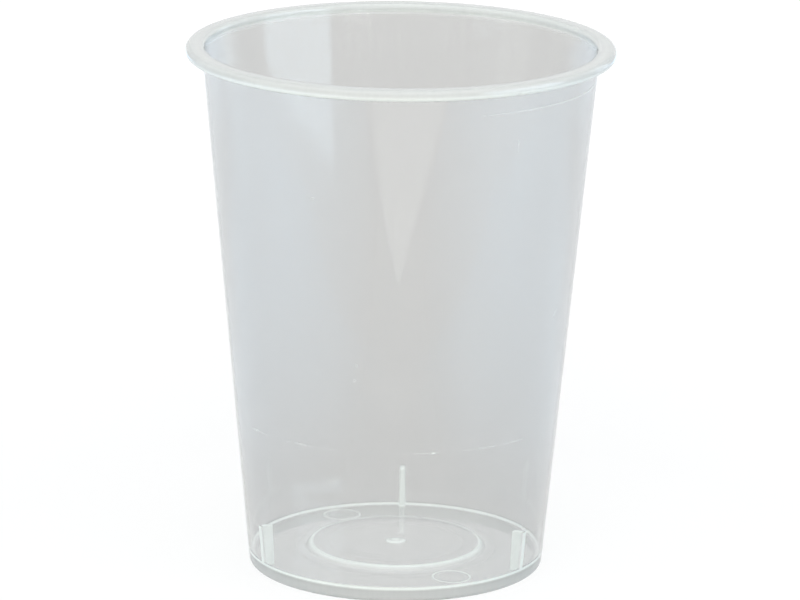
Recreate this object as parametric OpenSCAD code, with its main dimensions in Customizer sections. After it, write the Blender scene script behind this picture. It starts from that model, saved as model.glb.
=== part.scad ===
// Clear drinking cup for cold drinks, injection-moulded in one piece in polypropylene.
// The origin is on the cup's axis at the plane it stands on, and +Z points up through the mouth.

/* [Cup] */
// Outside diameter over the rim
rim_d = 95; // [90:0.5:100]
// Height from the foot to the top of the rim
cup_h = 118.4; // [80:0.1:160]
// Outside diameter of the wall where it meets the table
foot_d = 65.6; // [58:0.2:74]
// Thickness of the wall, measured level
wall_t = 0.6; // [0.5:0.05:0.9]

/* [Rim] */
// How far the rim stands out past the wall under it
rim_overhang = 3.8; // [3.2:0.1:5]
// Height of the rim's outer face
rim_h = 2.5; // [2.4:0.05:3.4]
// Thickness of the flat flange that a lid or a sealing film lies on
flange_t = 1.2; // [0.8:0.05:1.5]
// Thickness of the lip that hangs from the flange's edge
lip_t = 1.5; // [1.35:0.05:2]
// Radius of the rim's upper outer edge
rim_edge_r = 1.2; // [0.4:0.05:1.3]
// Radius of the lip's lower outer edge
lip_edge_r = 1.1; // [0.3:0.05:1.2]
// Radius between the inside of the wall and the flange
mouth_edge_r = 0.9; // [0.3:0.05:1.2]
// Radius in the corner where the flange leaves the outside of the wall
throat_r = 0.4; // [0.2:0.05:0.6]

/* [Parting line] */
// Distance from the rim's lower edge down to the line that the mould's neck ring leaves
parting_drop = 4.4; // [2:0.1:8]
// Height of the ridge in the parting line
parting_h = 0.06; // [0.03:0.01:0.15]
// Width of the ridge in the parting line
parting_w = 0.3; // [0.15:0.05:0.6]

/* [Floor] */
// Height of the floor's underside above the table, where it meets the foot ring
floor_recess = 2.25; // [1.5:0.05:4]
// How much the floor rises from the wall to the raised disc
floor_dome = 0.25; // [0.05:0.05:0.8]
// Thickness of the floor
floor_t = 0.9; // [0.6:0.05:1.2]
// Radius in the corner between the floor and the inside of the wall
floor_fillet_r = 0.7; // [0.3:0.05:1.2]
// Diameter of the raised disc in the middle of the floor
disc_d = 38; // [28:0.5:40]
// Height of the disc above the floor around it
disc_rise = 0.95; // [0.6:0.05:2]
// How much further out the disc's sloping edge reaches at its foot
disc_slope = 1.2; // [0.5:0.1:2]
// Radius of the disc's upper edge
disc_edge_r = 0.35; // [0.1:0.05:0.5]

/* [Foot] */
// Thickness of the foot ring that the cup stands on
foot_t = 1.5; // [1.35:0.05:2]
// Radius of the foot ring's outer edge
foot_edge_r = 1.2; // [0.3:0.05:1.4]
// Radius of the foot ring's inner edge
foot_inner_r = 0.15; // [0.05:0.05:0.2]

/* [Stacking ribs] */
// Number of ribs that hold a nested cup off the floor
rib_count = 3; // [2:1:8]
// Direction of the first rib, in degrees from +X
rib_angle = 87.4; // [0:0.1:120]
// Height of a rib above the floor
rib_h = 9; // [5:0.5:20]
// How far a rib stands in from the wall at the floor
rib_depth = 2; // [1.2:0.1:3]
// Width of a rib at the floor
rib_w = 1.6; // [1.2:0.1:2.4]
// Width of a rib at its top
rib_top_w = 1.2; // [0.8:0.1:1.6]
// How much nearer the wall a rib's inner edge is at its top, so that it leaves the mould
rib_draft = 0.35; // [0.1:0.05:0.8]
// Radius of a rib's upper inner corner
rib_corner_r = 0.3; // [0.1:0.05:0.5]

/* [Gate] */
// Diameter of the low dome inside the cup, over the injection point
gate_d = 4.6; // [3.6:0.1:7]
// Height of the dome
gate_h = 0.4; // [0.2:0.05:0.6]
// Diameter of the dimple under the dome, which keeps the gate's stub off the table
dimple_d = 3.2; // [2.4:0.1:3.4]
// Depth of the dimple
dimple_depth = 0.45; // [0.2:0.05:0.5]
// Diameter of the stub that is left at the gate
stub_d = 0.9; // [0.5:0.1:1.4]
// Length of the stub
stub_h = 0.3; // [0.1:0.05:0.5]

/* [Insert marks] */
// Outside diameter of the ring that a round mould insert leaves on the floor
insert_d = 8.6; // [6:0.1:9.6]
// Distance from the ring in to the fainter ring inside it
insert_gap = 0.95; // [0.6:0.05:1.6]
// Direction of the first mark, in degrees from +X
insert_angle = 118; // [100:1:190]
// Width of a ring's line
insert_line_w = 0.35; // [0.2:0.05:0.6]
// Height of the outer ring's line
insert_line_h = 0.1; // [0.05:0.01:0.2]

/* [Hidden] */
clear_pp = [0.86, 0.88, 0.88, 0.45];
$fn = 96;
arc_steps = 6;
full_turn = 360;
rim_r = rim_d / 2;
foot_r = foot_d / 2;
lip_z = cup_h - rim_h;
flange_z = cup_h - flange_t;
lip_in_r = rim_r - lip_t;
throat_wall_r = rim_r - rim_overhang;
parting_z = lip_z - parting_drop;
floor_z = floor_recess + floor_t;
disc_foot_z = floor_z + floor_dome;
disc_z = disc_foot_z + disc_rise;
disc_r = disc_d / 2;
disc_foot_r = disc_r + disc_slope;
disc_slope_angle = atan(disc_rise / disc_slope);
lip_inner_edge_r = 0.15;
floor_under_fillet_r = 0.4;
insert_marks = 2;
insert_draft = 0.08;
// How deep a feature that stands on the wall or the floor is bedded in it
bedding = 0.3;

// Radius of the wall's outside and inside at height z: one straight taper from foot to rim.
function wall_r(z) = foot_r + (throat_wall_r - foot_r) * z / lip_z;
function inner_r(z) = wall_r(z) - wall_t;

// The floor between wall and disc: its middle, and the angle at which it climbs towards the disc.
floor_mid_r = (disc_foot_r + inner_r(floor_z)) / 2;
floor_mid_z = floor_z + floor_dome / 2;
floor_dome_angle = atan(floor_dome / (inner_r(floor_z) - disc_foot_r));

// The arc of radius r that rounds corner b between its neighbours a and c, or b itself where r is 0.
function unit(v) = v / norm(v);
function corner_arc(a, b, c, r) =
    let (u = unit(a - b), v = unit(c - b))
    let (half = acos(u * v) / 2)
    let (middle = b + unit(u + v) * r / sin(half))
    let (start = b + u * r / tan(half) - middle, end = b + v * r / tan(half) - middle)
    let (from = atan2(start.y, start.x), turn = atan2(start.x * end.y - start.y * end.x, start * end))
    [for (i = [0:arc_steps]) middle + r * [cos(from + turn * i / arc_steps), sin(from + turn * i / arc_steps)]];

// A closed outline from corners given as [distance from the axis, height, rounding radius].
function rounded_outline(corners) =
    let (n = len(corners), at = [for (k = corners) [k[0], k[1]]])
    [for (i = [0:n - 1])
        each corners[i][2] == 0
            ? [at[i]]
            : corner_arc(at[(i + n - 1) % n], at[i], at[(i + 1) % n], corners[i][2])];

// The section that turns into wall, rim, foot and floor, from the axis under the floor round to the axis above it.
module moulded_body() {
    disc_under_shift = floor_t * tan(disc_slope_angle / 2);
    rotate_extrude(angle = full_turn)
        polygon(rounded_outline([
            [0, disc_z - floor_t, 0],
            [disc_r - disc_under_shift, disc_z - floor_t, disc_edge_r],
            [disc_foot_r - disc_under_shift, disc_foot_z - floor_t, disc_edge_r],
            [wall_r(floor_recess) - foot_t, floor_recess, floor_under_fillet_r],
            [foot_r - foot_t, 0, foot_inner_r],
            [foot_r, 0, foot_edge_r],
            [wall_r(parting_z - parting_w / 2), parting_z - parting_w / 2, 0],
            [wall_r(parting_z) + parting_h, parting_z, 0],
            [wall_r(parting_z + parting_w / 2), parting_z + parting_w / 2, 0],
            [wall_r(flange_z), flange_z, throat_r],
            [lip_in_r, flange_z, throat_r],
            [lip_in_r, lip_z, lip_inner_edge_r],
            [rim_r, lip_z, lip_edge_r],
            [rim_r, cup_h, rim_edge_r],
            [inner_r(cup_h), cup_h, mouth_edge_r],
            [inner_r(floor_z), floor_z, floor_fillet_r],
            [disc_foot_r, disc_foot_z, disc_edge_r],
            [disc_r, disc_z, disc_edge_r],
            [0, disc_z, 0]
        ]));
}

// One rib along +X: its side view and its front view, each bedded in wall and floor, crossed with each other.
module stacking_rib() {
    foot_in_r = inner_r(floor_z) - rib_depth;
    top_z = floor_z + rib_h;
    bed_z = floor_z - bedding;
    intersection() {
        rotate([90, 0, 0])
            linear_extrude(height = rib_w * 2, center = true)
                polygon(rounded_outline([
                    [foot_in_r, bed_z, 0],
                    [inner_r(bed_z) + bedding, bed_z, 0],
                    [inner_r(top_z) + bedding, top_z, 0],
                    [foot_in_r + rib_draft, top_z, rib_corner_r]
                ]));
        rotate([90, 0, 90])
            linear_extrude(height = foot_r + rim_r)
                polygon([
                    [-rib_w / 2, bed_z],
                    [rib_w / 2, bed_z],
                    [rib_top_w / 2, top_z],
                    [-rib_top_w / 2, top_z]
                ]);
    }
}

module stacking_ribs() {
    for (i = [0:rib_count - 1])
        rotate([0, 0, rib_angle + i * full_turn / rib_count])
            stacking_rib();
}

// A raised ring of outside diameter d, with its line h high, standing on z = 0 and bedded under it.
module insert_ring(d, h) {
    rotate_extrude(angle = full_turn)
        polygon([
            [d / 2 - insert_line_w, -bedding],
            [d / 2, -bedding],
            [d / 2, 0],
            [d / 2 - insert_draft, h],
            [d / 2 - insert_line_w + insert_draft, h],
            [d / 2 - insert_line_w, 0]
        ]);
}

// The two marks lie opposite each other, midway between the disc and the wall, and tilt with the domed floor.
module insert_marks() {
    for (i = [0:insert_marks - 1])
        rotate([0, 0, insert_angle + i * full_turn / insert_marks])
            translate([floor_mid_r, 0, floor_mid_z])
                rotate([0, floor_dome_angle, 0]) {
                    insert_ring(insert_d, insert_line_h);
                    insert_ring(insert_d - 2 * insert_gap, insert_line_h / 2);
                }
}

// A ball cap: width d and height h, rising from z = 0.
module ball_cap(d, h) {
    ball_r = (d * d / 4 + h * h) / (2 * h);
    intersection() {
        translate([0, 0, h - ball_r]) sphere(r = ball_r);
        cylinder(d = d, h = h);
    }
}

module gate_dome() {
    translate([0, 0, disc_z]) ball_cap(gate_d, gate_h);
    translate([0, 0, disc_z - bedding]) cylinder(d = gate_d, h = bedding);
}

module gate_dimple() {
    translate([0, 0, disc_z - floor_t]) ball_cap(dimple_d, dimple_depth);
    translate([0, 0, disc_z - floor_t - bedding]) cylinder(d = dimple_d, h = bedding);
}

module gate_stub() {
    dimple_top_z = disc_z - floor_t + dimple_depth;
    translate([0, 0, dimple_top_z - stub_h]) cylinder(d = stub_d, h = stub_h + bedding);
}

module cup() {
    color(clear_pp) {
        difference() {
            union() {
                moulded_body();
                stacking_ribs();
                insert_marks();
                gate_dome();
            }
            gate_dimple();
        }
        gate_stub();
    }
}

cup();
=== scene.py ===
import bpy
import numpy as np
from mathutils import Matrix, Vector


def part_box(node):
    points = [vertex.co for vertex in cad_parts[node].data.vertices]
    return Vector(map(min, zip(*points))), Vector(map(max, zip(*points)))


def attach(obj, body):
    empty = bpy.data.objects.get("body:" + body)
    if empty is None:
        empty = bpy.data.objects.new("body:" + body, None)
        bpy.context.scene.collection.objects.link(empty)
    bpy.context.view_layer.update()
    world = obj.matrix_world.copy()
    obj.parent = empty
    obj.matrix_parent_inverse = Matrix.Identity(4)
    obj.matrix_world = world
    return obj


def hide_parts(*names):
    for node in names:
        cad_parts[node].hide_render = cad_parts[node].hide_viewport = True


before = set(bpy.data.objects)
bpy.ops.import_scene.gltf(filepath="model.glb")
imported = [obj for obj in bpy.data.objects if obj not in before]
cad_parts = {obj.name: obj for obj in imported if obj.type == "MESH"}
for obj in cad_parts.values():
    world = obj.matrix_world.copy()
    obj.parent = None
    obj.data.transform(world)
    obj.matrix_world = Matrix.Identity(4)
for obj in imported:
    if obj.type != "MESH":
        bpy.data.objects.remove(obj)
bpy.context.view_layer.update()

scene = bpy.context.scene
scene.view_settings.view_transform = "Standard"

# Camera
# A long lens looks down a little on the rim from 1.3 m away, as for a catalogue picture of 800 x 600.
# The camera leans by two thirds of a degree, as the picture does. Its angles are in radians.
LENS_MM = 264.88
SENSOR_MM = 36.0
CAMERA_AT = (0.0, -1.26669, 0.39405)
LOOK_DOWN = 0.2577
LOOK_ASIDE = 0.00031
LEAN = 0.01134
NEAREST_SEEN = 0.01
FARTHEST_SEEN = 50.0


def placed(right, up, back, at):
    """The matrix that puts a thing at a point, with its own X, Y and Z axes along right, up and back."""
    matrix = np.eye(4)
    matrix[:3] = np.stack([right, up, back, at], 1)
    return Matrix(matrix.tolist())


ahead = np.array([
    np.sin(LOOK_ASIDE) * np.cos(LOOK_DOWN),
    np.cos(LOOK_ASIDE) * np.cos(LOOK_DOWN),
    -np.sin(LOOK_DOWN),
])
level = np.cross(ahead, (0.0, 0.0, 1.0))
level /= np.linalg.norm(level)
above = np.cross(level, ahead)
camera_right = np.cos(LEAN) * level + np.sin(LEAN) * above
camera_up = np.cos(LEAN) * above - np.sin(LEAN) * level

camera_data = bpy.data.cameras.new("catalogue_camera")
camera_data.lens = LENS_MM
camera_data.sensor_width = SENSOR_MM
camera_data.sensor_fit = "HORIZONTAL"
camera_data.clip_start = NEAREST_SEEN
camera_data.clip_end = FARTHEST_SEEN
camera = bpy.data.objects.new("catalogue_camera", camera_data)
camera.matrix_world = placed(camera_right, camera_up, -ahead, CAMERA_AT)
scene.collection.objects.link(camera)
scene.camera = camera

# Cup: section of wall, rim, foot and floor
# The cup is one injection moulding in natural polypropylene: a tapered wall, a flat flange with its lip
# turned down, and a floor set up inside a foot ring. All of it turns about one axis, so it starts as one
# section, from the axis under the floor out round foot, wall and rim, and back in over the floor.
MM = 0.001  # the cup's sizes are in millimetres, and its mesh is made in metres
_, cup_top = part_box("cup")  # its height and its rim are the frame's
CUP_H = round(cup_top.z / MM, 1)
RIM_R = round(cup_top.x / MM, 1)
RIM_OVERHANG = 3.8
RIM_H = 2.5
FLANGE_T = 1.2
LIP_T = 1.5
FOOT_R = 32.8
FOOT_T = 1.5
WALL_T = 0.6
FLOOR_UNDER_Z = 2.25
FLOOR_T = 0.9
FLOOR_DOME = 0.25
DISC_R = 19.0
DISC_SLOPE = 1.2
DISC_RISE = 0.95
GATE_D = 4.6
GATE_H = 0.4
DIMPLE_D = 3.2
DIMPLE_H = 0.45
STUB_R = 0.45
STUB_H = 0.3
PARTING_DROP = 4.4
PARTING_W = 0.5
RIB_H = 9.0
RIB_DEPTH = 2.0

THROAT_R = RIM_R - RIM_OVERHANG
LIP_Z = CUP_H - RIM_H
FLANGE_Z = CUP_H - FLANGE_T
PARTING_Z = LIP_Z - PARTING_DROP
FLOOR_Z = FLOOR_UNDER_Z + FLOOR_T
DISC_FOOT_R = DISC_R + DISC_SLOPE
DISC_FOOT_Z = FLOOR_Z + FLOOR_DOME
DISC_Z = DISC_FOOT_Z + DISC_RISE
RIB_TOP_Z = FLOOR_Z + RIB_H

# Radii of the rounded edges and corners.
STUB_EDGE = 0.08
DISC_EDGE = 0.35
FLOOR_UNDER_FILLET = 0.4
FLOOR_FILLET = 0.7
FOOT_INNER_EDGE = 0.15
FOOT_EDGE = 1.2
THROAT_FILLET = 0.4
LIP_INNER_EDGE = 0.15
LIP_EDGE = 1.1
RIM_EDGE = 1.2
MOUTH_EDGE = 0.9
ARC_STEPS = 6
SMALL_EDGE = 0.3
SMALL_ARC_STEPS = 4


def outer_r(z):
    """Radius of the wall's outside: one straight taper from the foot to the throat under the rim."""
    return FOOT_R + (THROAT_R - FOOT_R) * z / LIP_Z


def inner_r(z):
    """Radius of the wall's inside, one wall thickness in from the outside."""
    return outer_r(z) - WALL_T


def floor_z(r):
    """Height of the floor's top between wall and disc: it climbs in a straight line towards the disc."""
    wall = inner_r(FLOOR_Z)
    return FLOOR_Z + (DISC_FOOT_Z - FLOOR_Z) * (wall - r) / (wall - DISC_FOOT_R)


def ball_cap(width, height, radii):
    """Height of a ball cap over its rim, at these radii.

    The ball's radius R is (width^2 / 4 + height^2) / (2 height), and z is height - R + sqrt(R^2 - r^2)."""
    ball = (width ** 2 / 4 + height ** 2) / (2 * height)
    return height - ball + np.sqrt(ball ** 2 - np.asarray(radii) ** 2)


def corner_arc(before, corner, after, rounding):
    """The arc of this radius that touches both sides of a corner.

    With h half the angle between the sides, its middle lies rounding / sin h from the corner, on the line
    that halves the angle, and it touches the sides rounding / tan h from the corner."""
    u, v = before - corner, after - corner
    u, v = u / np.linalg.norm(u), v / np.linalg.norm(v)
    half = np.arccos(np.clip(u @ v, -1, 1)) / 2
    middle = corner + (u + v) / np.linalg.norm(u + v) * rounding / np.sin(half)
    first = corner + u * rounding / np.tan(half) - middle
    last = corner + v * rounding / np.tan(half) - middle
    start = np.arctan2(first[1], first[0])
    turn = np.arctan2(first[0] * last[1] - first[1] * last[0], first @ last)
    steps = ARC_STEPS if rounding > SMALL_EDGE else SMALL_ARC_STEPS
    sweep = start + turn * np.linspace(0, 1, steps + 1)
    return middle + rounding * np.stack([np.cos(sweep), np.sin(sweep)], 1)


def rounded_line(corners, short_run=0.6, from_end=0.12):
    """A line through corners, each given as (r, z, rounding, longest step on the way to the next corner).

    A straight run is cut into equal steps. Past the short run's length it gets one more point close to each
    end, so that smooth shading leaves the flat parts flat."""
    at = np.array([corner[:2] for corner in corners], float)
    arcs = [at[:1]]
    for before, corner, after, (_, _, rounding, _) in zip(at, at[1:], at[2:], corners[1:]):
        arcs.append(corner_arc(before, corner, after, rounding) if rounding else corner[None])
    arcs.append(at[-1:])
    line = []
    for arc, following, (_, _, _, longest) in zip(arcs, arcs[1:], corners):
        run = following[0] - arc[-1]
        length = np.linalg.norm(run)
        cuts = np.linspace(0, 1, int(np.ceil(length / longest)) + 1)[1:-1]
        if length > short_run:
            close = from_end / length
            between = cuts[(cuts > 2 * close) & (cuts < 1 - 2 * close)]
            cuts = np.concatenate([[close], between, [1 - close]])
        line += [arc, arc[-1] + cuts[:, None] * run]
    return np.concatenate(line + [arcs[-1]])


LONG = 9.0


def outside_at(z, longest=LONG):
    """A plain corner of the section on the wall's outside."""
    return outer_r(z), z, 0, longest


def inside_at(z, longest=LONG):
    """A plain corner of the section on the wall's inside."""
    return inner_r(z), z, 0, longest


# Besides the form's own corners there are rows where the look changes: at the line in which the floor shows
# through the foot, at the ribs' tops, at the parting line, and where the wall starts to whiten at the rim.
FOOT_LINE_FROM_Z, FOOT_LINE_TO_Z = 1.9, 3.9
BESIDE_RIB_TOP = 0.1
WHITE_FROM_Z = FLANGE_Z - 0.6
WHITER_INSIDE = 0.9
under_shift = FLOOR_T * np.tan(np.arctan2(DISC_RISE, DISC_SLOPE) / 2)
disc_under_z = DISC_Z - FLOOR_T
stub_z = disc_under_z + DIMPLE_H - STUB_H
dimple_radii = np.linspace(STUB_R, DIMPLE_D / 2, 6)
dimple_heights = disc_under_z + ball_cap(DIMPLE_D, DIMPLE_H, dimple_radii)
under_and_outside = [
    (0, stub_z, 0, LONG),
    (STUB_R, stub_z, STUB_EDGE, LONG),
    *((r, z, 0, LONG) for r, z in zip(dimple_radii, dimple_heights)),
    (DISC_R - under_shift, disc_under_z, DISC_EDGE, LONG),
    (DISC_FOOT_R - under_shift, DISC_FOOT_Z - FLOOR_T, DISC_EDGE, 6),
    (outer_r(FLOOR_UNDER_Z) - FOOT_T, FLOOR_UNDER_Z, FLOOR_UNDER_FILLET, 2),
    (FOOT_R - FOOT_T, 0, FOOT_INNER_EDGE, 2),
    (FOOT_R, 0, FOOT_EDGE, 0.9),
    outside_at(FOOT_LINE_FROM_Z, 0.12),
    outside_at(FOOT_LINE_TO_Z, 4),
    outside_at(RIB_TOP_Z - BESIDE_RIB_TOP),
    outside_at(RIB_TOP_Z + BESIDE_RIB_TOP),
    outside_at(PARTING_Z - PARTING_W, 0.1),
    outside_at(PARTING_Z + PARTING_W),
    outside_at(WHITE_FROM_Z),
    (outer_r(FLANGE_Z), FLANGE_Z, THROAT_FILLET, 2),
    (RIM_R - LIP_T, FLANGE_Z, THROAT_FILLET, 2),
    (RIM_R - LIP_T, LIP_Z, LIP_INNER_EDGE, 2),
    (RIM_R, LIP_Z, LIP_EDGE, 2),
    (RIM_R, CUP_H, RIM_EDGE, 2),
    (inner_r(CUP_H), CUP_H, MOUTH_EDGE, LONG),
    inside_at(WHITE_FROM_Z),
    inside_at(WHITE_FROM_Z - WHITER_INSIDE),
    inside_at(RIB_TOP_Z),
]
rib_end_r = inner_r(FLOOR_Z) - RIB_DEPTH - 0.3
wall_to_floor = [
    inside_at(RIB_TOP_Z, 4),
    (inner_r(FLOOR_Z), FLOOR_Z, FLOOR_FILLET, 1),
    (rib_end_r, floor_z(rib_end_r), 0, 1),
]

# The floor has close rows under the round marks, and two on the disc where its bright edge fades inwards.
MARK_R = (DISC_FOOT_R + inner_r(FLOOR_Z)) / 2
MARK_REACH = 4.6
MARK_ROW_STEP = 0.15
DISC_FADE_FROM, DISC_FADE_TO = 0.45, 0.65
mark_row_radii = np.arange(rib_end_r, MARK_R - MARK_REACH, -MARK_ROW_STEP)
dome_radii = np.linspace(GATE_D / 2, 0, 9)
dome_heights = DISC_Z + ball_cap(GATE_D, GATE_H, dome_radii)
floor_and_disc = [
    *((r, floor_z(r), 0, LONG) for r in mark_row_radii),
    (DISC_FOOT_R, DISC_FOOT_Z, DISC_EDGE, LONG),
    (DISC_R, DISC_Z, DISC_EDGE, 6),
    (DISC_R - DISC_FADE_FROM, DISC_Z, 0, LONG),
    (DISC_R - DISC_FADE_TO, DISC_Z, 0, LONG),
    *((r, z, 0, LONG) for r, z in zip(dome_radii, dome_heights)),
]

# Cup: stacking ribs
# Three thin ribs stand on the floor against the wall, 120 degrees apart, and keep a nested cup from jamming.
# They are moulded with the wall: within a rib's width the section runs over the rib's top and down its face.
RIB_ANGLES = np.array([87.4, 207.4, 327.4])
RIB_W = 1.6
RIB_TOP_W = 1.2
RIB_DRAFT = 0.35
RIB_CORNER = 0.3
RIB_FOOT_FILLET = 0.15
RIB_FLANK = 0.06


def along(line):
    """How far each point lies along a line, from 0 at its start to 1 at its end."""
    gone = np.concatenate([[0], np.cumsum(np.linalg.norm(np.diff(line, axis=0), axis=1))])
    return gone / gone[-1]


def line_at(line, where):
    """The points of a line at these shares of its length."""
    return np.stack([np.interp(where, along(line), line[:, k]) for k in (0, 1)], 1)


rib_foot_r = inner_r(FLOOR_Z) - RIB_DEPTH
rib_line = rounded_line([
    inside_at(RIB_TOP_Z, 2),
    (rib_foot_r + RIB_DRAFT, RIB_TOP_Z, RIB_CORNER, 3),
    (rib_foot_r, floor_z(rib_foot_r), RIB_FOOT_FILLET, 2),
    (rib_end_r, floor_z(rib_end_r), 0, 2),
])
plain_line = rounded_line(wall_to_floor)
shares = np.unique(np.round(np.concatenate([along(rib_line), along(plain_line)]), 5))
wall_rows, rib_rows = line_at(plain_line, shares), line_at(rib_line, shares)

outside_rows = rounded_line(under_and_outside)[:-1]
floor_rows = rounded_line(floor_and_disc)[1:]
section = np.concatenate([outside_rows, wall_rows, floor_rows])
rib_section = np.concatenate([outside_rows, rib_rows, floor_rows])
rows = len(section)
first_rib_row = len(outside_rows)
last_rib_row = first_rib_row + len(wall_rows) - 1

# Cup: skin
# The section is carried round the axis into one closed skin, as the cavity of the mould is turned. Its lines
# are closer at the ribs and at the two round marks that mould inserts leave on the floor.
PLAIN_STEP = 2.5
CLEAR_OF_RIB = 3.2
MARK_ANGLES = np.array([118.0, 298.0])
MARK_HALF_ANGLE = 9.9
MARK_LINES = 61
CLEAR_OF_MARK = 0.4
WALL_FOOT_R = 32.3
NO_RIB = 99.0


def turned_from(angles, middle):
    """Degrees from the middle to each angle, the shorter way round."""
    return (angles - middle + 180) % 360 - 180


def nearest(angles, middles):
    """Degrees from each angle to the nearest of the middles."""
    return np.abs(turned_from(angles[:, None], middles)).min(1)


# Across a rib, in millimetres from its middle: two lines beside it, four on its flank, two on its face, and
# one in the middle.
half_w = RIB_W / 2
rib_offsets = np.concatenate([
    half_w + np.array([0.45, 0.12]),
    half_w - RIB_FLANK * np.array([0, 0.06, 0.94, 1]),
    [half_w - RIB_FLANK - 0.12, 0.25],
])
rib_offsets = np.concatenate([-rib_offsets, [0], rib_offsets[::-1]])
plain_angles = np.arange(0, 360, PLAIN_STEP)
clear_of_ribs = nearest(plain_angles, RIB_ANGLES) > CLEAR_OF_RIB
clear_of_marks = nearest(plain_angles, MARK_ANGLES) > MARK_HALF_ANGLE + CLEAR_OF_MARK
plain_angles = plain_angles[clear_of_ribs & clear_of_marks]
over_mark = np.linspace(-MARK_HALF_ANGLE, MARK_HALF_ANGLE, MARK_LINES)
mark_angles = (MARK_ANGLES[:, None] + over_mark).ravel()
rib_angles = (RIB_ANGLES[:, None] + np.degrees(rib_offsets / WALL_FOOT_R)).ravel()
angles = np.concatenate([plain_angles, mark_angles, rib_angles])
no_rib = np.full(len(plain_angles) + len(mark_angles), NO_RIB)
offsets = np.concatenate([no_rib, np.tile(rib_offsets, len(RIB_ANGLES))])
order = np.argsort(angles % 360)
angles, offsets = angles[order] % 360, offsets[order]
around = len(angles)

# How wide a rib is at each row, as a share of its width at the floor: it narrows towards its top.
taper = np.full(rows, RIB_TOP_W / RIB_W)
up_the_rib = (rib_section[first_rib_row:, 1] - FLOOR_Z).clip(0, RIB_H) / RIB_H
taper[first_rib_row:] = 1 - (1 - RIB_TOP_W / RIB_W) * up_the_rib
taper[last_rib_row + 1:] = 1
on_rib = np.clip((half_w - np.abs(offsets)) / RIB_FLANK, 0, 1)
near_rib = offsets * (np.abs(offsets) < half_w + 0.2)
theta = np.radians(angles) + near_rib * (taper[:, None] - 1) / WALL_FOOT_R
radius = section[:, :1] + on_rib * (rib_section[:, :1] - section[:, :1])
height = section[:, 1:] + on_rib * (rib_section[:, 1:] - section[:, 1:])

# Cup: parting line, insert marks and nick
# The mould's neck ring leaves a fine ridge under the rim, which stands out at the right of the front and is
# worn away round the rest. Each insert leaves a raised ring on the floor with a fainter one inside it. The
# lip's lower edge has a nick at the right of the front, where it was knocked up and in over 1.6 mm.
PARTING_H = 0.03
PARTING_ANGLE = -20
PARTING_FADE = 60
PARTING_LEAST = 0.1
RING_RADII = (4.125, 3.175)
RING_HEIGHTS = (0.1, 0.05)
RING_HALF_W = 0.2
RING_LINE_HALF_W = 1.8
ROWS_BEFORE_FLOOR = 8
NICK_ANGLE = -57.5
NICK_HALF_W = 0.8
NICK_DEPTH = 0.16
NICK_UP = 0.3
NICK_TALL = 0.8


def ridge(distance, half_width):
    """The height of a ridge across its width, from 1 in its middle: (1 - (distance / half width)^2)^2."""
    return (1 - np.clip(np.abs(distance) / half_width, 0, 1) ** 2) ** 2


parting_side = 1.1 - np.abs(turned_from(angles, PARTING_ANGLE)) / PARTING_FADE
parting_side = np.clip(parting_side, PARTING_LEAST, 1)
on_outside = (np.arange(rows) < first_rib_row)[:, None]
parting_ridge = ridge(section[:, 1:] - PARTING_Z, PARTING_W / 2) * on_outside
parting_seen = parting_ridge * (parting_side - PARTING_LEAST)
radius = radius + PARTING_H * parting_ridge * parting_side
x, y = radius * np.cos(theta), radius * np.sin(theta)

on_floor = (np.arange(rows) >= last_rib_row - ROWS_BEFORE_FLOOR)[:, None]
ring_line = np.zeros_like(x)
for middle in np.radians(MARK_ANGLES):
    from_middle = np.hypot(x - MARK_R * np.cos(middle), y - MARK_R * np.sin(middle))
    for ring_r, ring_h in zip(RING_RADII, RING_HEIGHTS):
        from_ring = from_middle - ring_r
        height = height + ring_h * ridge(from_ring, RING_HALF_W) * on_floor
        seen = np.clip(RING_LINE_HALF_W - np.abs(from_ring) / RING_HALF_W, 0, 1)
        ring_line = np.maximum(ring_line, seen * on_floor * ring_h / RING_HEIGHTS[0])

nick = ridge(np.radians(turned_from(angles, NICK_ANGLE)) * RIM_R, NICK_HALF_W)
nick = nick * np.clip(1 - np.abs(section[:, 1:] - LIP_Z - NICK_UP) / NICK_TALL, 0, 1)
nick = nick * (section[:, :1] > RIM_R - LIP_EDGE)
height = height + nick * NICK_DEPTH
knocked_in = 1 - nick * NICK_DEPTH / 2 / RIM_R
x, y = x * knocked_in, y * knocked_in

# The first and last rows lie on the axis. They become one point each, with a fan of triangles round it.
body = slice(1, rows - 1)
body_rows = rows - 2
bottom = body_rows * around
top = bottom + 1
points = np.stack([x, y, height], 2)[body].reshape(-1, 3)
points = np.concatenate([points, [[0, 0, section[0, 1]], [0, 0, section[-1, 1]]]]) * MM
grid = np.arange(bottom).reshape(body_rows, around)
after = np.roll(grid, -1, axis=1)
quads = np.stack([grid[:-1], after[:-1], after[1:], grid[1:]], 2).reshape(-1, 4)
bottom_fan = np.stack([after[0], grid[0], np.full(around, bottom)], 1)
top_fan = np.stack([grid[-1], after[-1], np.full(around, top)], 1)
corner_counts = np.concatenate([np.full(len(quads), 4), np.full(2 * around, 3)])
corners = np.concatenate([quads.ravel(), bottom_fan.ravel(), top_fan.ravel()])

mesh = bpy.data.meshes.new("cup_moulding")
mesh.vertices.add(len(points))
mesh.vertices.foreach_set("co", points.ravel())
mesh.loops.add(len(corners))
mesh.loops.foreach_set("vertex_index", corners)
mesh.polygons.add(len(corner_counts))
mesh.polygons.foreach_set("loop_start", np.concatenate([[0], np.cumsum(corner_counts)[:-1]]))
mesh.polygons.foreach_set("use_smooth", np.ones(len(corner_counts), bool))
mesh.update(calc_edges=True)
mesh.validate()

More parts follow.
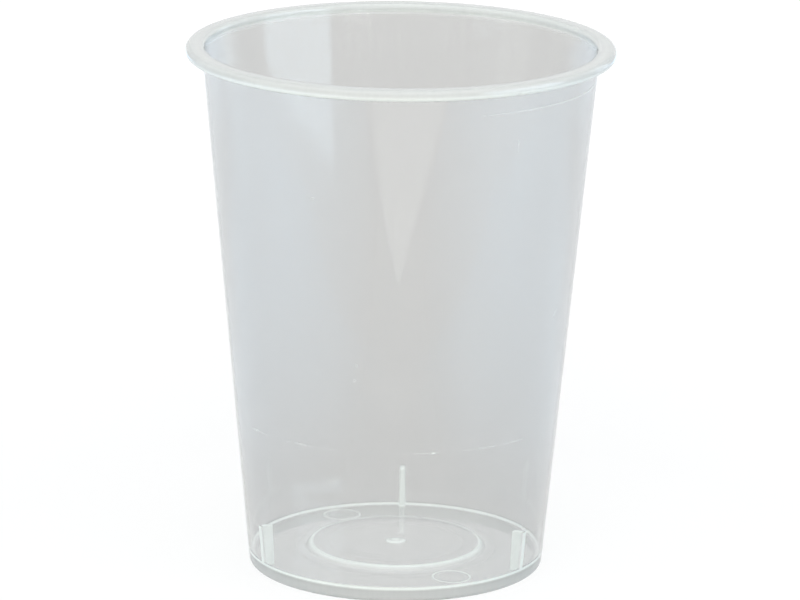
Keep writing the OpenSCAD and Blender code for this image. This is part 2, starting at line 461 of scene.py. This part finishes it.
# Cup: where the plastic whitens
# Natural polypropylene looks whiter where it is thick or seen edge-on: at the rim, the ribs, the corner where
# the floor meets the wall, the disc's edge, the gate and the marks. Each point keeps its share, from 0 to 1.
FLANGE_WHITE = 0.88
THROAT_WHITE = 0.75
THROAT_FADE = 0.8
FOOT_WHITE = 0.6
FOOT_OUTSIDE_WHITE = 0.8
CORNER_WHITE = 0.95
DISC_FOOT_WHITE = 0.3
DISC_UNDER_WHITE = 0.8
GATE_RING_CLEAR = 0.35
GATE_UNDER_WHITE = 0.9
FLOOR_WHITE = 0.09
MARK_WHITE = 0.9
PARTING_WHITE = 0.8


def band(values, middle, half, soft):
    """1 where a value is within half of the middle, falling to 0 over the soft distance past it."""
    return 1 - np.clip((np.abs(values - middle) - half) / soft, 0, 1)


r_row, z_row = section[:, 0], section[:, 1]
index = np.arange(rows)
inside = index > np.flatnonzero(z_row > CUP_H - 0.01)[-1]
on_flange = r_row > THROAT_R + 0.6
on_wall = ~inside & (r_row > FOOT_R - 0.5) & (r_row < THROAT_R)

up_the_throat = (z_row - WHITE_FROM_Z + WHITER_INSIDE * inside) / (THROAT_FADE + WHITER_INSIDE * inside)
throat_milk = THROAT_WHITE * np.clip(up_the_throat, 0, 1)
rim_milk = np.where(on_flange, FLANGE_WHITE * (z_row > LIP_Z - 0.5), throat_milk)
foot_milk = FOOT_WHITE * ~inside * (z_row < FLOOR_UNDER_Z - 0.2) * (r_row > FOOT_R - 3)
floor_line = band(z_row, FLOOR_Z + 0.13, 0.25, 0.2)
foot_line_milk = on_wall * np.maximum(floor_line, FOOT_OUTSIDE_WHITE * (z_row < FLOOR_Z - 0.25))
in_corner = inside * (r_row > inner_r(FLOOR_Z) - 0.6)
corner_milk = CORNER_WHITE * in_corner * band(z_row, FLOOR_Z + 0.12, 0.22, 0.15)
floor_milk = FLOOR_WHITE * inside * (z_row < DISC_Z + 0.5) * (r_row < inner_r(FLOOR_Z) - 0.4)
disc_milk = inside * band(r_row, DISC_R + 0.05, 0.45, 0.2)
disc_foot_milk = DISC_FOOT_WHITE * inside * band(r_row, DISC_FOOT_R + 0.1, 0.15, 0.25)
disc_under = ~inside * (z_row > FLOOR_UNDER_Z) * band(r_row, DISC_R - under_shift + 0.6, 0.7, 0.3)
disc_under_milk = DISC_UNDER_WHITE * disc_under
gate_dome = band(r_row, 0.0, GATE_D / 2 - 0.05, 0.15) - GATE_RING_CLEAR * band(r_row, GATE_D / 4, 0.1, 0.3)
gate_milk = gate_dome * inside * (z_row > DISC_Z - 0.05)
gate_under_milk = GATE_UNDER_WHITE * ~inside * (r_row < DIMPLE_D / 2 + 0.05) * (z_row < DISC_Z)
milk = np.maximum.reduce([
    rim_milk, foot_milk, foot_line_milk, corner_milk, floor_milk,
    disc_milk, disc_foot_milk, disc_under_milk, gate_milk, gate_under_milk,
])[:, None]
rib_inside = (index > first_rib_row) & (index < last_rib_row - 1)
rib_outside = on_wall & (z_row > FLOOR_Z) & (z_row < RIB_TOP_Z)
rib_milk = (np.abs(offsets) < half_w + 0.01) * (rib_inside | rib_outside)[:, None]
milk = np.maximum.reduce([
    milk * np.ones(around), rib_milk, MARK_WHITE * ring_line, PARTING_WHITE * parting_seen, nick,
])

# Painted shade: the colour is greyed over the rim's upper half, and over the foot below the floor, where the
# hollow under the floor lies in shade.
RIM_OUTSIDE_SHADE = 0.9
RIM_INSIDE_SHADE = 0.75
up_the_lip = np.clip((z_row - LIP_Z - 0.8) / 0.6, 0, 1)
across_the_rim = np.clip((r_row - THROAT_R + 0.5) / 0.5, RIM_INSIDE_SHADE, 1)
rim_painted_shade = up_the_lip * np.where(r_row > RIM_R - 0.4, RIM_OUTSIDE_SHADE, across_the_rim)
foot_painted_shade = on_wall * np.clip((FLOOR_Z - 0.15 - z_row) / 0.3, 0, 1)
painted_shade = np.maximum(foot_painted_shade, rim_painted_shade)[:, None] * np.ones(around)

# Painted shade: where a ray leaves the plastic through the wall's outside and through the floor's underside,
# its colour is darkened, so that the far wall and the floor look dimmer through the cup, as if less light
# came from behind.
UNDER_FLOOR_SHARE = 0.5
wall_share = (r_row < THROAT_R + 0.3) * (z_row < FLANGE_Z)
under_share = UNDER_FLOOR_SHARE * (z_row > FLOOR_UNDER_Z - 0.2)
outer = ~inside * np.where(r_row > FOOT_R - 0.5, wall_share, under_share)
outer = outer[:, None] * (1 - parting_seen)

# The mould's draw lines run up the wall, so their pattern is stretched upwards.
DRAW_STRETCH = 400.0
draw = np.stack([np.cos(theta), np.sin(theta), height / DRAW_STRETCH], 2)


def keep(name, kind, values, poles):
    """Puts one value for each point of the skin into the mesh, with those of the two poles at the end."""
    layer = mesh.attributes.new(name, kind, "POINT")
    field = "value" if kind == "FLOAT" else "vector"
    values = values[body].reshape(bottom, -1)
    layer.data.foreach_set(field, np.concatenate([values, poles]).astype(np.float32).ravel())


keep("milk", "FLOAT", milk, [[0.0], [milk[-1, 0]]])
keep("painted_shade", "FLOAT", painted_shade, [[0.0], [0.0]])
keep("outer", "FLOAT", outer, [[outer[0, 0]], [0.0]])
keep("draw", "FLOAT_VECTOR", draw, [[0, 0, 0], [0, 0, 0]])

cup = bpy.data.objects.new("cup_body", mesh)
scene.collection.objects.link(cup)
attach(cup, "root")
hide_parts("cup")

# Cup: natural polypropylene, moulded gloss
# Polypropylene without pigment lets light through but holds a grey haze, because its crystals scatter, and it
# turns milky with a green-blue cast where it is thick. The polished steel mould leaves a gloss with fine
# lines in the direction in which the part is drawn off the core.
PP_CLEAR = "#e7e8e8"
PP_MILKY = "#f6fefb"
# The grey towards which the rim's top and the foot are painted as shaded.
PP_PAINTED_SHADE = "#c6cac9"
# The grey of the painted shade on what is seen through the far wall and the floor.
PP_SHADE_BEHIND = "#b2b1af"
PP_SENT_ON = "#f9fafa"
PP_IOR = 1.49
CLEAR_THROUGH = 0.90
MILKY_THROUGH = 0.08
OUTER_HAZE = 0.03
LEAVING_THROUGH = 0.93
LEAVING_MILK = 0.75
WALL_MIDDLE_R = 37.8
# Draw lines are a few hundredths of a millimetre apart. Here they are 0.9 mm wide, so that they show.
DRAW_LINE_W = 0.9
DRAW_LINE_DEEP = 0.01
CLOUD_SIZE = 16.667


def linear(hex_colour):
    """An sRGB hex colour as the linear colour that Blender's sockets take."""
    value = np.array([int(hex_colour[i:i + 2], 16) for i in (1, 3, 5)]) / 255
    value = np.where(value <= 0.04045, value / 12.92, ((value + 0.055) / 1.055) ** 2.4)
    return (*value.tolist(), 1.0)


def node(material, kind, inputs=None, **settings):
    """Adds one node with its settings and its inputs.

    An input takes a value, or is linked to a socket or to the first output of a node."""
    made = material.node_tree.nodes.new(kind)
    for name, value in settings.items():
        setattr(made, name, value)
    for name, value in (inputs or {}).items():
        if isinstance(value, bpy.types.Node):
            value = value.outputs[0]
        if isinstance(value, bpy.types.NodeSocket):
            material.node_tree.links.new(value, made.inputs[name])
        else:
            made.inputs[name].default_value = value
    return made


pp = bpy.data.materials.new("natural_polypropylene_moulded_gloss")
pp.use_nodes = True
pp.node_tree.nodes.clear()
milkiness = node(pp, "ShaderNodeAttribute", attribute_name="milk").outputs["Fac"]
outside = node(pp, "ShaderNodeAttribute", attribute_name="outer").outputs["Fac"]
painted_shade_share = node(pp, "ShaderNodeAttribute", attribute_name="painted_shade").outputs["Fac"]
drawn = node(pp, "ShaderNodeAttribute", attribute_name="draw").outputs["Vector"]
place = node(pp, "ShaderNodeTexCoord").outputs["Object"]
leaving = node(pp, "ShaderNodeNewGeometry").outputs["Backfacing"]
draw_lines = node(pp, "ShaderNodeTexNoise", {
    "Vector": drawn, "Scale": WALL_MIDDLE_R / DRAW_LINE_W, "Detail": 3.0, "Roughness": 0.6})
clouds = node(pp, "ShaderNodeTexNoise", {"Vector": place, "Scale": 1 / (CLOUD_SIZE * MM), "Detail": 2.0})

# How much light a point lets through: the haze, the draw lines and wider clouds of haze change it.
clear = node(pp, "ShaderNodeMath", {0: outside, 1: -OUTER_HAZE, 2: CLEAR_THROUGH}, operation="MULTIPLY_ADD")
through = node(pp, "ShaderNodeMix", {"Factor": milkiness, "A": clear, "B": MILKY_THROUGH})
streaks = node(pp, "ShaderNodeMath", {0: draw_lines, 1: -0.10, 2: 0.05}, operation="MULTIPLY_ADD")
wisps = node(pp, "ShaderNodeMath", {0: clouds, 1: -0.02, 2: 0.01}, operation="MULTIPLY_ADD")
through = node(pp, "ShaderNodeMath", {0: through, 1: streaks}, operation="ADD")
through = node(pp, "ShaderNodeMath", {0: through, 1: wisps}, operation="ADD", use_clamp=True)

# Cup: wear
# Cups rub on each other in a stack, which leaves a broken ring of scuffs round the outside 35 mm up, and
# scratches and rubbed spots. Each mark is a flat ellipse on the outside, given as degrees round, height,
# half length, half height, tilt in degrees, and how white it is.
SCUFF_Z = 35.05
SCUFF_HALF_H = 0.30
SCUFF_LENGTH = 8.4
SCUFF_WHITE = 0.55
SCUFFS_FROM, SCUFFS_FULL = 0.28, 0.72
WEAR_DEEP = 0.5
WEAR_CONTRAST = 2.6
GRAIN_SIZE = 0.6667
SCUFF_MARKS = [
    (-149, 35.1, 1.8, 0.30, 2, 0.25),
    (-77, 35.0, 1.2, 0.32, -1, 0.20),
    (-126, 35.1, 2.2, 0.2, 0, 0.15),
]
RUBBED_SPOTS = [
    (-112.9, 27.6, 2.0, 0.8, 8, 0.13),
    (-103.4, 54.9, 0.5, 1.4, 15, 0.17),
    (-104.4, 51.5, 1.0, 0.5, 40, 0.14),
    (-27.0, 62.3, 0.4, 2.0, -38, 0.30),
    (-26.0, 60.9, 0.4, 1.1, -30, 0.22),
    (-116.8, 92.3, 0.8, 0.28, 10, 0.30),
    (-117.7, 52.5, 0.35, 0.3, 0, 0.20),
]
SCRATCHES = [(-53.2, 104.0, 0.30, 8.0, 0, 0.16)]
BACK_MARKS = [
    (64, 35.0, 2.5, 0.28, 0, 0.20),
    (152, 34.9, 2.0, 0.3, -1, 0.20),
    (40, 66, 1.6, 0.3, 20, 0.35),
    (120, 81, 0.3, 2.2, 10, 0.30),
]
WEAR = SCUFF_MARKS + RUBBED_SPOTS + SCRATCHES + BACK_MARKS

above_foot = node(pp, "ShaderNodeSeparateXYZ", {0: place}).outputs["Z"]
off_ring = node(pp, "ShaderNodeMath", {0: above_foot, 1: SCUFF_Z * MM}, operation="SUBTRACT")
off_ring = node(pp, "ShaderNodeMath", {0: off_ring}, operation="ABSOLUTE")
off_ring = node(pp, "ShaderNodeMath", {0: off_ring, 1: SCUFF_HALF_H * MM}, operation="DIVIDE")
on_ring = node(pp, "ShaderNodeMath", {0: 1.0, 1: off_ring}, operation="SUBTRACT", use_clamp=True)
round_ring = node(pp, "ShaderNodeVectorMath", {0: drawn, 1: (1, 1, 0)}, operation="MULTIPLY")
scuffed = node(pp, "ShaderNodeTexNoise", {
    "Vector": round_ring, "Scale": WALL_MIDDLE_R / SCUFF_LENGTH, "Detail": 2.0})
scuffed = node(pp, "ShaderNodeMapRange", {
    "Value": scuffed, "From Min": SCUFFS_FROM, "From Max": SCUFFS_FULL, "To Max": SCUFF_WHITE})
scuffed = node(pp, "ShaderNodeMath", {0: scuffed, 1: outside}, operation="MULTIPLY")
worn = node(pp, "ShaderNodeMath", {0: on_ring, 1: scuffed}, operation="MULTIPLY")
for degrees_round, up, half_length, half_height, tilt, whiteness in WEAR:
    turn = np.radians(degrees_round)
    spot = (outer_r(up) * np.cos(turn) * MM, outer_r(up) * np.sin(turn) * MM, up * MM)
    from_spot = node(pp, "ShaderNodeMapping", {
        "Vector": place, "Location": spot, "Rotation": (0, np.radians(-tilt), turn + np.pi / 2),
        "Scale": (half_length * MM, WEAR_DEEP * MM, half_height * MM)}, vector_type="TEXTURE")
    off_spot = node(pp, "ShaderNodeVectorMath", {0: from_spot}, operation="LENGTH").outputs["Value"]
    on_spot = node(pp, "ShaderNodeMath", {0: 1.0, 1: off_spot}, operation="SUBTRACT", use_clamp=True)
    worn = node(pp, "ShaderNodeMath", {
        0: on_spot, 1: whiteness * WEAR_CONTRAST, 2: worn}, operation="MULTIPLY_ADD")
grain = node(pp, "ShaderNodeTexNoise", {"Vector": place, "Scale": 1 / (GRAIN_SIZE * MM), "Detail": 2.0})
worn = node(pp, "ShaderNodeMath", {0: worn, 1: grain}, operation="MULTIPLY")
through = node(pp, "ShaderNodeMath", {0: through, 1: worn}, operation="SUBTRACT", use_clamp=True)

# Cup: the finish put together
# Most of the haze sits where a ray enters the plastic, and a little where it leaves, so that light caught
# between the two skins glows instead of going out.
let_out = node(pp, "ShaderNodeMath", {
    0: milkiness, 1: -LEAVING_MILK, 2: LEAVING_THROUGH}, operation="MULTIPLY_ADD")
through = node(pp, "ShaderNodeMix", {"Factor": leaving, "A": through, "B": let_out})
gloss = node(pp, "ShaderNodeMath", {0: draw_lines, 1: 0.05, 2: 0.02}, operation="MULTIPLY_ADD")
relief = node(pp, "ShaderNodeBump", {"Height": draw_lines, "Strength": 0.15, "Distance": DRAW_LINE_DEEP * MM})
whitened = node(pp, "ShaderNodeMath", {0: worn, 1: 2.0}, operation="MULTIPLY")
whitened = node(pp, "ShaderNodeMath", {0: milkiness, 1: whitened}, operation="MAXIMUM", use_clamp=True)
colour = node(pp, "ShaderNodeMix", {
    "Factor": whitened, "A": linear(PP_CLEAR), "B": linear(PP_MILKY)}, data_type="RGBA").outputs[2]
# Painted shade on the rim's top and on the foot: the colour is mixed towards a grey.
colour = node(pp, "ShaderNodeMix", {
    "Factor": painted_shade_share, "A": colour, "B": linear(PP_PAINTED_SHADE)}, data_type="RGBA").outputs[2]
# Painted shade: where a ray leaves through the outside, the colour darkens towards a grey, so that the far
# wall and the floor look dimmer through the cup.
shade_behind = node(pp, "ShaderNodeMix", {
    "Factor": outside, "A": linear("#ffffff"), "B": linear(PP_SHADE_BEHIND)}, data_type="RGBA").outputs[2]
colour = node(pp, "ShaderNodeMix", {
    "Factor": leaving, "A": colour, "B": shade_behind}, data_type="RGBA").outputs[2]
plastic = node(pp, "ShaderNodeBsdfPrincipled", {
    "Base Color": colour, "Roughness": gloss, "IOR": PP_IOR,
    "Transmission Weight": through, "Normal": relief})
# Haze sends light on forwards, so what the lamps throw on the inside comes through almost undimmed.
sent_on = node(pp, "ShaderNodeBsdfTransparent", {"Color": linear(PP_SENT_ON)})
path = node(pp, "ShaderNodeLightPath").outputs
lit = node(pp, "ShaderNodeMixShader", {0: path["Is Diffuse Ray"], 1: plastic, 2: sent_on})
lit = node(pp, "ShaderNodeMixShader", {0: path["Is Shadow Ray"], 1: lit, 2: sent_on})
node(pp, "ShaderNodeOutputMaterial", {"Surface": lit})
mesh.materials.append(pp)

# Studio floor
# A wide sheet of white matt card lies under the cup. For the camera, and in gloss and through the plastic, it
# is lifted to white, while the cup still lays its soft shadow on it.
FLOOR_SPREAD = 8.0
CARD = "#c0c0c0"
LIFT_NEAR, LIFT_FAR = 0.44, 0.86
LIFT_FROM, LIFT_TO = 0.1, 1.2


def seen_directly(material):
    """1 for a ray from the camera, from gloss or through plastic, and 0 for light that falls on things."""
    path = node(material, "ShaderNodeLightPath").outputs
    seen = node(material, "ShaderNodeMath", {
        0: path["Is Camera Ray"], 1: path["Is Glossy Ray"]}, operation="ADD")
    return node(material, "ShaderNodeMath", {
        0: seen, 1: path["Is Transmission Ray"]}, operation="ADD", use_clamp=True)


sheet_corners = FLOOR_SPREAD * np.array([(-1, -1, 0), (1, -1, 0), (1, 1, 0), (-1, 1, 0)])
floor_mesh = bpy.data.meshes.new("studio_floor")
floor_mesh.from_pydata(sheet_corners.tolist(), [], [(0, 1, 2, 3)])
studio_floor = bpy.data.objects.new("studio_floor", floor_mesh)
scene.collection.objects.link(studio_floor)

card = bpy.data.materials.new("white_card_matt")
card.use_nodes = True
card.node_tree.nodes.clear()
card_place = node(card, "ShaderNodeTexCoord").outputs["Object"]
from_cup = node(card, "ShaderNodeVectorMath", {0: card_place}, operation="LENGTH").outputs["Value"]
lift = node(card, "ShaderNodeMapRange", {
    "Value": from_cup, "From Min": LIFT_FROM, "From Max": LIFT_TO, "To Min": LIFT_NEAR, "To Max": LIFT_FAR})
lift = node(card, "ShaderNodeMath", {0: seen_directly(card), 1: lift}, operation="MULTIPLY")
matt = node(card, "ShaderNodeBsdfPrincipled", {
    "Base Color": linear(CARD), "Roughness": 0.9, "Specular IOR Level": 0.0,
    "Emission Color": (1, 1, 1, 1), "Emission Strength": lift})
node(card, "ShaderNodeOutputMaterial", {"Surface": matt})
floor_mesh.materials.append(card)

# Studio light
# Even light comes from all round and is white where it is looked at. Large soft lamps stand at the front, at
# both sides and above, the side ones a little blue, and a weak one behind. Powers are in watts.
AMBIENT = 0.50
LAMP_AIM = (0, 0, 0.06)
world = bpy.data.worlds.new("studio_light")
scene.world = world
world.use_nodes = True
world.node_tree.nodes.clear()
strength = node(world, "ShaderNodeMath", {
    0: seen_directly(world), 1: 1.0 - AMBIENT, 2: AMBIENT}, operation="MULTIPLY_ADD")
glow = node(world, "ShaderNodeBackground", {"Color": (1, 1, 1, 1), "Strength": strength})
node(world, "ShaderNodeOutputWorld", {"Surface": glow})


def soft_lamp(name, at, size, power, colour="#ffffff"):
    """A square lamp at a point, turned to the cup: its third axis points back from the aim to the lamp."""
    data = bpy.data.lights.new(name, "AREA")
    data.shape = "SQUARE"
    data.size = size
    data.energy = power
    data.color = linear(colour)[:3]
    back = np.subtract(at, LAMP_AIM) / np.linalg.norm(np.subtract(at, LAMP_AIM))
    side = np.cross((0, 0.01, 1), back)
    side /= np.linalg.norm(side)
    lamp = bpy.data.objects.new(name, data)
    lamp.matrix_world = placed(side, np.cross(back, side), back, at)
    lamp.visible_glossy = False
    lamp.visible_transmission = False
    scene.collection.objects.link(lamp)


soft_lamp("front_lamp", (-0.15, -1.15, 0.68), 0.7, 8.2, "#fff6ec")
soft_lamp("left_lamp", (-1.1, -0.3, 0.5), 0.7, 2.8, "#d8eeff")
soft_lamp("right_lamp", (1.1, -0.3, 0.5), 0.7, 3.2, "#d8eeff")
soft_lamp("back_lamp", (0.25, 1.15, 0.4), 0.7, 0.8)
soft_lamp("top_lamp", (0.1, -0.15, 1.3), 0.6, 5.0)

# Mirrored room
# What the gloss mirrors is a room with windows at both sides, a far row of small panes at the front right,
# and daylight on the table in front of the cup and at its sides. Each is a card that only the gloss shows.
WINDOW_GLOW = 5.3
LEFT_GLOW = 2.0
PANES_GLOW = 18.0
POOL_GLOW = 1.8
SIDE_GLOW = 2.3
WINDOW_TOP = 0.5
AWAY = 0.6
POOL_Z = 0.001
TABLE_CARD_Z = 0.0006


def mirrored_card(name, grid, glow, colour="#ffffff"):
    """A card that is there only in what the cup mirrors: seen directly or through the plastic it is clear.

    The grid's rows and columns hold x, y, z and the share of its glow there, from 0, as white card, to 1."""
    grid = np.array(grid, float)
    lines, stations = grid.shape[:2]
    at = np.arange(lines * stations).reshape(lines, stations)
    faces = np.stack([at[:-1, :-1], at[:-1, 1:], at[1:, 1:], at[1:, :-1]], 2).reshape(-1, 4)
    sheet = bpy.data.meshes.new(name)
    sheet.from_pydata(grid[:, :, :3].reshape(-1, 3).tolist(), [], faces.tolist())
    shares = sheet.attributes.new("shine", "FLOAT", "POINT")
    shares.data.foreach_set("value", grid[:, :, 3].astype(np.float32).ravel())
    board = bpy.data.objects.new(name, sheet)
    scene.collection.objects.link(board)
    board.visible_camera = False
    board.visible_diffuse = False
    board.visible_shadow = False
    light = bpy.data.materials.new(name)
    light.use_nodes = True
    light.node_tree.nodes.clear()
    mirrors = node(light, "ShaderNodeLightPath").outputs["Glossy Depth"]
    mirrored = node(light, "ShaderNodeMath", {0: mirrors, 1: 1.0}, operation="MINIMUM")
    shine = node(light, "ShaderNodeAttribute", attribute_name="shine").outputs["Fac"]
    white = node(light, "ShaderNodeEmission", {"Color": (1, 1, 1, 1), "Strength": 1.0})
    bright = node(light, "ShaderNodeEmission", {"Color": linear(colour), "Strength": glow})
    shining = node(light, "ShaderNodeMixShader", {0: shine, 1: white, 2: bright})
    clear_card = node(light, "ShaderNodeBsdfTransparent", {"Color": (1, 1, 1, 1)})
    shown = node(light, "ShaderNodeMixShader", {0: mirrored, 1: clear_card, 2: shining})
    node(light, "ShaderNodeOutputMaterial", {"Surface": shown})
    sheet.materials.append(light)


def window(x, stations):
    """An upright card at this x through stations (y, lower edge, shine), up to the windows' top."""
    low = [(x, y, z, shine) for y, z, shine in stations]
    high = [(x, y, WINDOW_TOP, shine) for y, _, shine in stations]
    return [low, high]


right_stations = [
    (-0.66, 0.03, 0), (-0.59, 0.03, 1), (-0.01, 0.055, 1), (0.05, 0.055, 0.08),
    (0.36, 0.0, 0.08), (0.42, 0.0, 0.3), (0.7, 0.0, 0.3),
]
left_stations = [
    (-0.7, 0.03, 0), (-0.5, 0.03, 0.2), (-0.33, 0.03, 0.2), (-0.29, 0.03, 0.9),
    (-0.2, 0.04, 0.6), (-0.15, 0.04, 1), (-0.07, 0.05, 0.8), (-0.01, 0.05, 0),
    (0.14, 0.05, 0), (0.2, 0.05, 0.5), (0.6, 0.0, 0.6),
]
mirrored_card("window_right", window(AWAY, right_stations), WINDOW_GLOW, "#e2f3ff")
mirrored_card("window_left", window(-AWAY, left_stations), LEFT_GLOW, "#f8fbfa")

# Three panes side by side in a low strip that sinks a little to the right, each with dark edges.
pane = np.array([0, 0.04, 0.24, 0.28])
panes = np.concatenate([pane, pane + 0.36, pane + 0.72])
pane_shine = np.tile([0, 1, 1, 0], 3)
mirrored_card("far_windows", [
    np.stack([0.25 + 0.2 * panes, -0.76 + 0.1 * panes, low - 0.0035 * panes, pane_shine], 1)
    for low in (0.0995, 0.1025)], PANES_GLOW)

# The pool of daylight narrows to a point in front of the cup: at each y it has a left and a right edge, and
# it fades over an eighth of its width at each.
POOL_FADE = 0.12
pool = [
    (-0.195, -0.001, 0.001), (-0.22, -0.031, 0.031), (-0.24, -0.052, 0.062), (-0.262, -0.074, 0.109),
    (-0.32, -0.13, 0.22),
]
across_pool = np.array([0, POOL_FADE, 1 - POOL_FADE, 1])
pool_shine = (0, 1, 1, 0)
mirrored_card("daylight_on_table", [
    [(a + (b - a) * t, y, POOL_Z, p) for t, p in zip(across_pool, pool_shine)]
    for y, a, b in pool], POOL_GLOW)

# The table is lit at both sides too, more so away from the cup.
aside, aside_shine = (0.05, 0.1, 0.2, 0.3, 0.9), (0, 0.3, 0.75, 1, 1)
along_table, along_shine = (-0.4, -0.08, 0.08, 0.2, 0.45, 0.54, 0.75), (1, 1, 0.62, 0.12, 0.15, 1, 1)
for side, name in ((-1, "table_left"), (1, "table_right")):
    mirrored_card(name, [
        [(side * x, y, TABLE_CARD_Z, p * q) for x, p in zip(aside, aside_shine)]
        for y, q in zip(along_table, along_shine)], SIDE_GLOW, "#d8edff")
